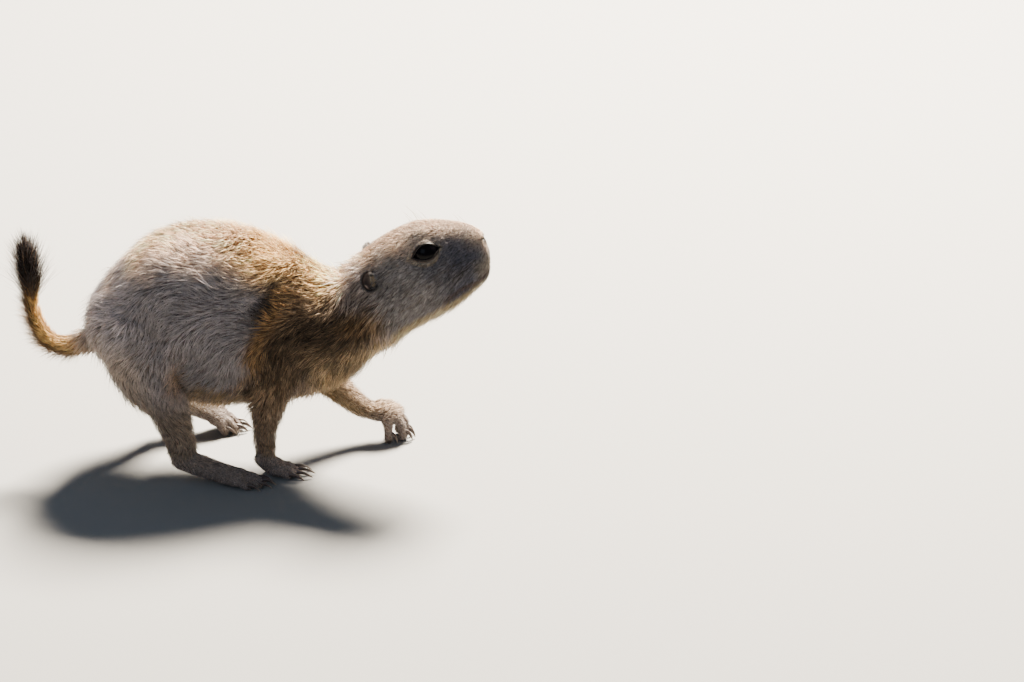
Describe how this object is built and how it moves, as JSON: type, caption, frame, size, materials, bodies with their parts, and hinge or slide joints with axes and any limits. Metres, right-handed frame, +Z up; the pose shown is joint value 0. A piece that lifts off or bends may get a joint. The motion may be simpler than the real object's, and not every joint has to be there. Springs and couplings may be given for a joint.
{
  "type": "young black-tailed prairie dog, life-size still model",
  "caption": "Life-size still model of a young prairie dog on all fours, neck stretched forward and tail curled up behind.",
  "frame": {"origin": "on the floor, under the middle of the whole model's box", "axes": "+X towards the nose along the body, +Y towards the animal's left side, +Z up from the floor"},
  "size_m": [0.2128, 0.0794, 0.1137],
  "materials": {
    "coat": "short dense fur, sandy buff with dark ticking, ochre on the shoulder and cream below",
    "foot": "very short flat grey-brown fur over the foot",
    "tail_coat": "short golden ochre fur, browner on the outer side",
    "tail_brush": "stiff black-brown hair in flat tapered locks",
    "ear": "thin short-haired skin, dark inside the cup",
    "eye": "wet, glossy, almost black",
    "claw": "smooth dark horn, paler at the tip"
  },
  "bodies": {
    "root": {"head": "coat", "neck": "coat", "chest": "coat", "abdomen": "coat", "rump": "coat", "ear_right": "ear", "ear_left": "ear", "eye_right": "eye", "eye_left": "eye", "thigh_right": "coat", "shank_right": "coat", "hindfoot_right": "foot", "thigh_left": "coat", "shank_left": "coat", "hindfoot_left": "foot", "upper_arm_right": "coat", "forearm_right": "coat", "forepaw_right": "foot", "upper_arm_left": "coat", "forearm_left": "coat", "forepaw_left": "foot", "tail_base": "tail_coat", "tail_middle": "tail_coat", "tail_brush": "tail_brush", "claw_hindfoot_right_1": "claw", "claw_hindfoot_right_2": "claw", "claw_hindfoot_right_3": "claw", "claw_hindfoot_right_4": "claw", "claw_hindfoot_right_5": "claw", "claw_hindfoot_left_1": "claw", "claw_hindfoot_left_2": "claw", "claw_hindfoot_left_3": "claw", "claw_hindfoot_left_4": "claw", "claw_hindfoot_left_5": "claw", "claw_forepaw_right_1": "claw", "claw_forepaw_right_2": "claw", "claw_forepaw_right_3": "claw", "claw_forepaw_right_4": "claw", "claw_forepaw_right_5": "claw", "claw_forepaw_left_1": "claw", "claw_forepaw_left_2": "claw", "claw_forepaw_left_3": "claw", "claw_forepaw_left_4": "claw", "claw_forepaw_left_5": "claw"}
  },
  "joints": []
}
